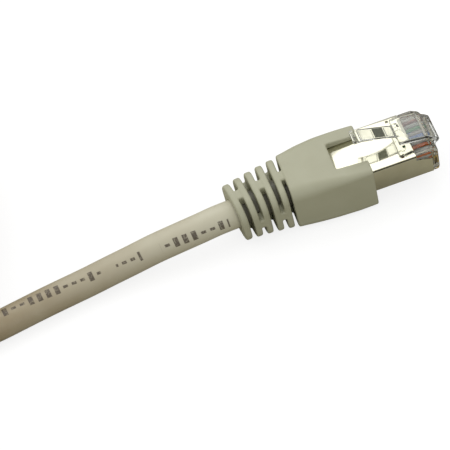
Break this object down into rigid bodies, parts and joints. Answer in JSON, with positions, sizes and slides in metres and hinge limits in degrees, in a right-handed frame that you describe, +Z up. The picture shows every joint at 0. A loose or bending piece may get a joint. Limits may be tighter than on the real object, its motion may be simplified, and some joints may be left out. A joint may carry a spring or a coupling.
{
  "type": "shielded network patch cable",
  "caption": "Shielded eight-way network patch cable: clear plug with metal shield and sprung latch, grey moulded boot with ribbed tail, round jacketed cable in a tied coil.",
  "frame": {"origin": "under the middle of the near plug and its boot, on the surface they lie on", "axes": "+X out of the near plug's nose, along the plug; +Z up, to the side that carries the latch; +Y to the plug's left"},
  "size_m": [0.1717, 0.0792, 0.0289],
  "materials": {
    "clear_housing": "clear moulded polycarbonate, glossy",
    "clear_comb": "translucent moulded polycarbonate",
    "plated_shield": "bright nickel-plated stamped sheet",
    "gold_contacts": "gold-plated, polished",
    "shield_foil": "thin crinkled foil",
    "tinned_braid": "tinned copper strands",
    "boot_vinyl": "satin moulded soft vinyl, warm grey",
    "jacket_vinyl": "satin extruded vinyl, warm grey-beige",
    "tie_strap": "woven hook-and-loop strap",
    "insulation_white_orange": "white with an orange stripe, satin",
    "insulation_orange": "orange, satin",
    "insulation_white_green": "white with a green stripe, satin",
    "insulation_blue": "blue, satin",
    "insulation_white_blue": "white with a blue stripe, satin",
    "insulation_green": "green, satin",
    "insulation_white_brown": "white with a brown stripe, satin",
    "insulation_brown": "brown, satin"
  },
  "bodies": {
    "root": {"near_housing": "clear_housing", "near_shield": "plated_shield", "near_contacts": "gold_contacts", "near_load_bar": "clear_comb", "near_foil": "shield_foil", "near_braid": "tinned_braid", "near_drain_wire": "tinned_braid", "near_boot": "boot_vinyl", "near_wire_white_orange": "insulation_white_orange", "near_wire_orange": "insulation_orange", "near_wire_white_green": "insulation_white_green", "near_wire_blue": "insulation_blue", "near_wire_white_blue": "insulation_white_blue", "near_wire_green": "insulation_green", "near_wire_white_brown": "insulation_white_brown", "near_wire_brown": "insulation_brown", "cord_lead": "jacket_vinyl", "cord_coil": "jacket_vinyl", "cord_tail": "jacket_vinyl", "coil_tie": "tie_strap", "far_housing": "clear_housing", "far_shield": "plated_shield", "far_contacts": "gold_contacts", "far_load_bar": "clear_comb", "far_foil": "shield_foil", "far_braid": "tinned_braid", "far_drain_wire": "tinned_braid", "far_boot": "boot_vinyl", "far_wire_white_orange": "insulation_white_orange", "far_wire_orange": "insulation_orange", "far_wire_white_green": "insulation_white_green", "far_wire_blue": "insulation_blue", "far_wire_white_blue": "insulation_white_blue", "far_wire_green": "insulation_green", "far_wire_white_brown": "insulation_white_brown", "far_wire_brown": "insulation_brown"},
    "near_latch": {"near_latch": "clear_housing"},
    "far_latch": {"far_latch": "clear_housing"}
  },
  "joints": [
    {"name": "near_latch_press", "type": "hinge", "parent": "root", "child": "near_latch", "pos_m": [0.0206, 0, 0.0091], "axis": [0, -1, 0], "range_deg": [0, 11], "stiffness_Nm_per_rad": 0.3},
    {"name": "far_latch_press", "type": "hinge", "parent": "root", "child": "far_latch", "pos_m": [-0.1407, -0.001, 0.0215], "axis": [0, 1, 0], "range_deg": [0, 11], "stiffness_Nm_per_rad": 0.3}
  ]
}
